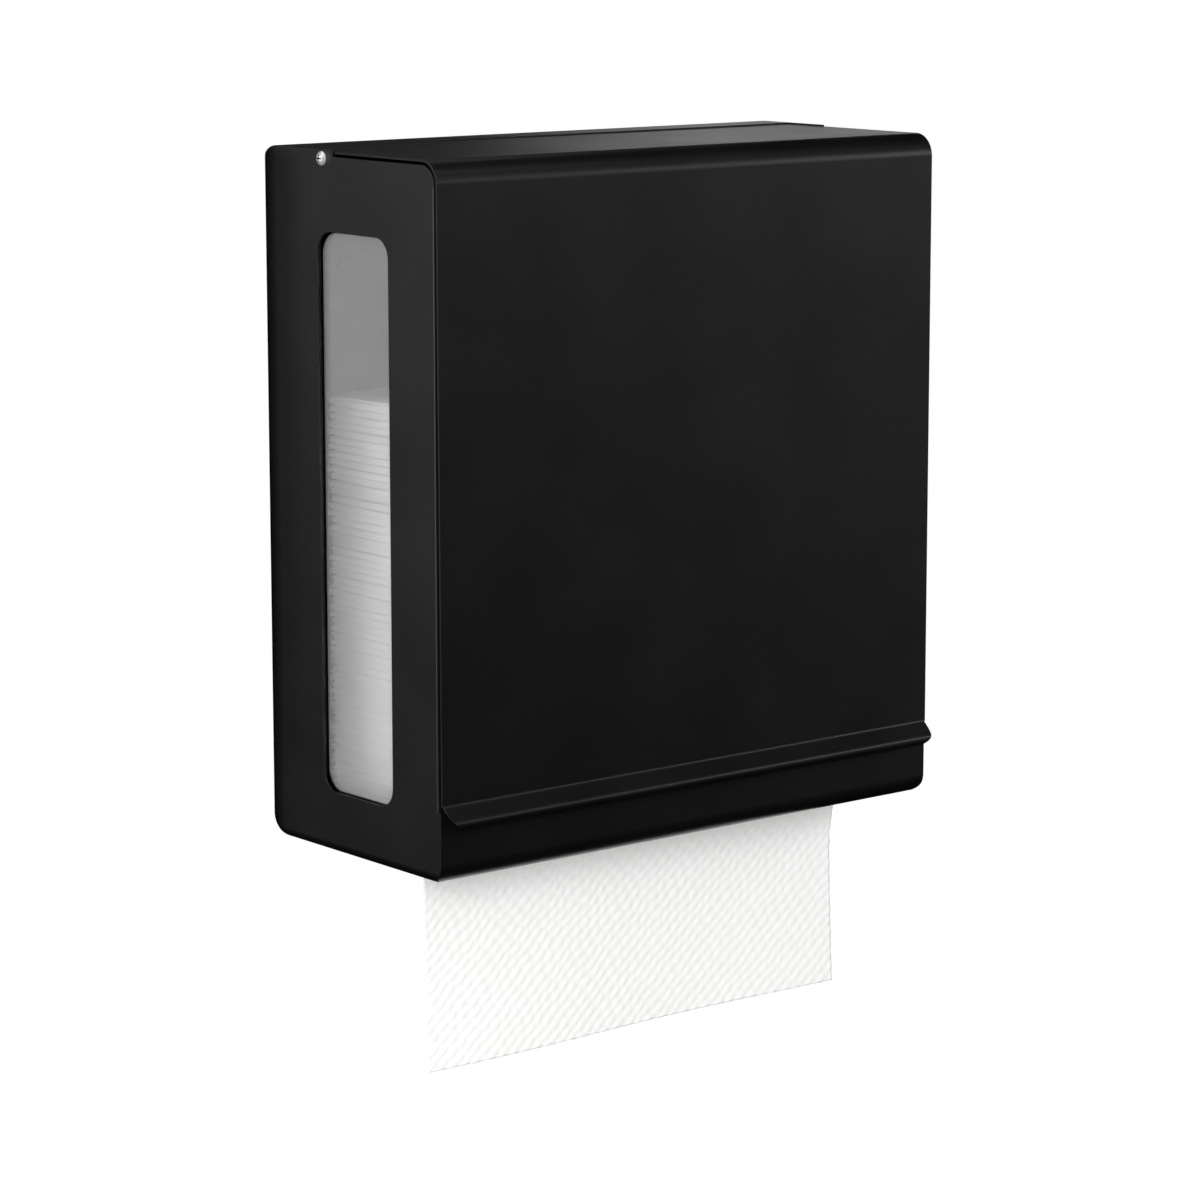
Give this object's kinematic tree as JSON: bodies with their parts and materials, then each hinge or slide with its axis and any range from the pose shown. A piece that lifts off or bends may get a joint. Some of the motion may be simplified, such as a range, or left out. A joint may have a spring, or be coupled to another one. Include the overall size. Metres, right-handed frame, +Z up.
{
  "type": "folded paper towel dispenser",
  "caption": "Wall-mounted black steel dispenser for folded paper hand towels, with a flip-up cover, frosted side windows and a towel hanging from the bottom slot.",
  "frame": {"origin": "centre of the four wall-screw holes, in the plane of the wall", "axes": "+X to the right of someone facing the dispenser, +Y into the wall, +Z up"},
  "size_m": [0.2824, 0.1323, 0.3957],
  "materials": {
    "black_powder_coat": "matte black powder coat",
    "zinc_steel": "zinc-plated steel",
    "bright_steel": "bright plated screw",
    "white_nylon": "natural nylon",
    "frosted_acrylic": "frosted, translucent",
    "black_rubber": "soft matte",
    "stacked_towels": "embossed tissue edges",
    "towel_paper": "white embossed tissue"
  },
  "bodies": {
    "housing": {"housing_shell": "black_powder_coat", "top_rear_rail": "black_powder_coat", "lower_front_rail": "black_powder_coat", "window_pane_left": "frosted_acrylic", "window_pane_right": "frosted_acrylic", "pane_clip_left": "zinc_steel", "pane_clip_right": "zinc_steel", "pane_channel_left_front": "black_powder_coat", "pane_channel_left_rear": "black_powder_coat", "pane_channel_right_front": "black_powder_coat", "pane_channel_right_rear": "black_powder_coat", "cover_bumpers": "black_rubber", "towel_stack": "stacked_towels", "hanging_towel": "towel_paper"},
    "cover": {"front_cover": "black_powder_coat", "hinge_lug_left": "zinc_steel", "hinge_lug_right": "zinc_steel", "pivot_screw_left": "bright_steel", "pivot_screw_right": "bright_steel", "pivot_washer_left": "white_nylon", "pivot_washer_right": "white_nylon"}
  },
  "joints": [
    {"name": "cover_hinge", "type": "hinge", "parent": "housing", "child": "cover", "pos_m": [0, -0.0457, 0.1489], "axis": [-1, 0, 0], "range_deg": [0, 115]}
  ]
}
